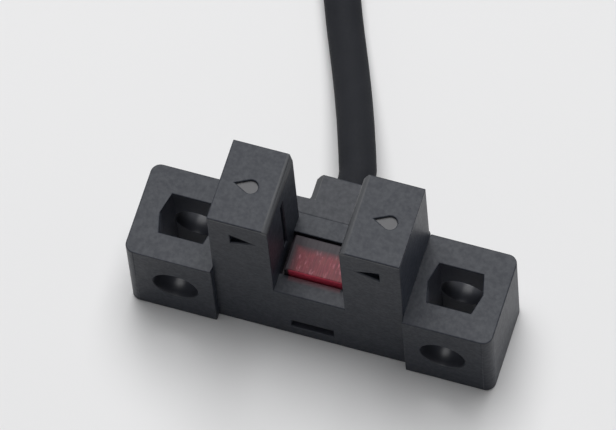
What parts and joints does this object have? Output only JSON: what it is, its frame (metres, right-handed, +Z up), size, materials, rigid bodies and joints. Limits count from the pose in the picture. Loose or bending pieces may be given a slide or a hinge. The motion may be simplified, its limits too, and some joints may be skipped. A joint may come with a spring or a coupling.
{
  "type": "slotted optical switch",
  "caption": "Slotted optical switch: a light beam crosses the slot between its arms, with mounting ears, a red indicator in the slot floor and a coiled cable with bare ends.",
  "frame": {"origin": "centre of the underside of the switch, measured without its cable", "axes": "+X along the mounting ears, +Y from the front face towards the cable, +Z up along the arms"},
  "size_m": [0.0406, 0.0791, 0.0154],
  "materials": {
    "black_case": "fine-grained black moulding, slightly glossy",
    "red_lens": "frosted translucent red",
    "dark_window": "polished dark infrared-pass resin",
    "emitter_resin": "clear blue-tinted resin",
    "receiver_resin": "dark resin",
    "tinned_metal": "tinned",
    "board_laminate": "green solder mask",
    "led_body": "pale resin",
    "chip_resin": "matt black resin",
    "resistor_body": "glazed",
    "capacitor_body": "plain",
    "brown_core": "smooth insulation",
    "black_core": "smooth insulation",
    "pink_core": "smooth insulation",
    "blue_core": "smooth insulation",
    "clamp_metal": "plain crimped metal",
    "cable_jacket": "satin black jacket",
    "tie_nylon": "black nylon"
  },
  "bodies": {
    "root": {"housing": "black_case", "base": "black_case", "indicator_lens": "red_lens", "emitter_window": "dark_window", "receiver_window": "dark_window", "emitter": "emitter_resin", "emitter_leads": "tinned_metal", "receiver": "receiver_resin", "receiver_leads": "tinned_metal", "circuit_board": "board_laminate", "indicator_led": "led_body", "amplifier_chip": "chip_resin", "output_transistor": "chip_resin", "chip_resistors": "resistor_body", "chip_capacitors": "capacitor_body", "lead_solder": "tinned_metal", "core_solder": "tinned_metal", "core_brown": "brown_core", "core_black": "black_core", "core_pink": "pink_core", "core_blue": "blue_core", "cable_clamp": "clamp_metal", "cable": "cable_jacket", "cable_coil": "cable_jacket", "coil_tie": "tie_nylon", "end_brown": "brown_core", "end_black": "black_core", "end_pink": "pink_core", "end_blue": "blue_core", "end_tips": "tinned_metal"}
  },
  "joints": []
}
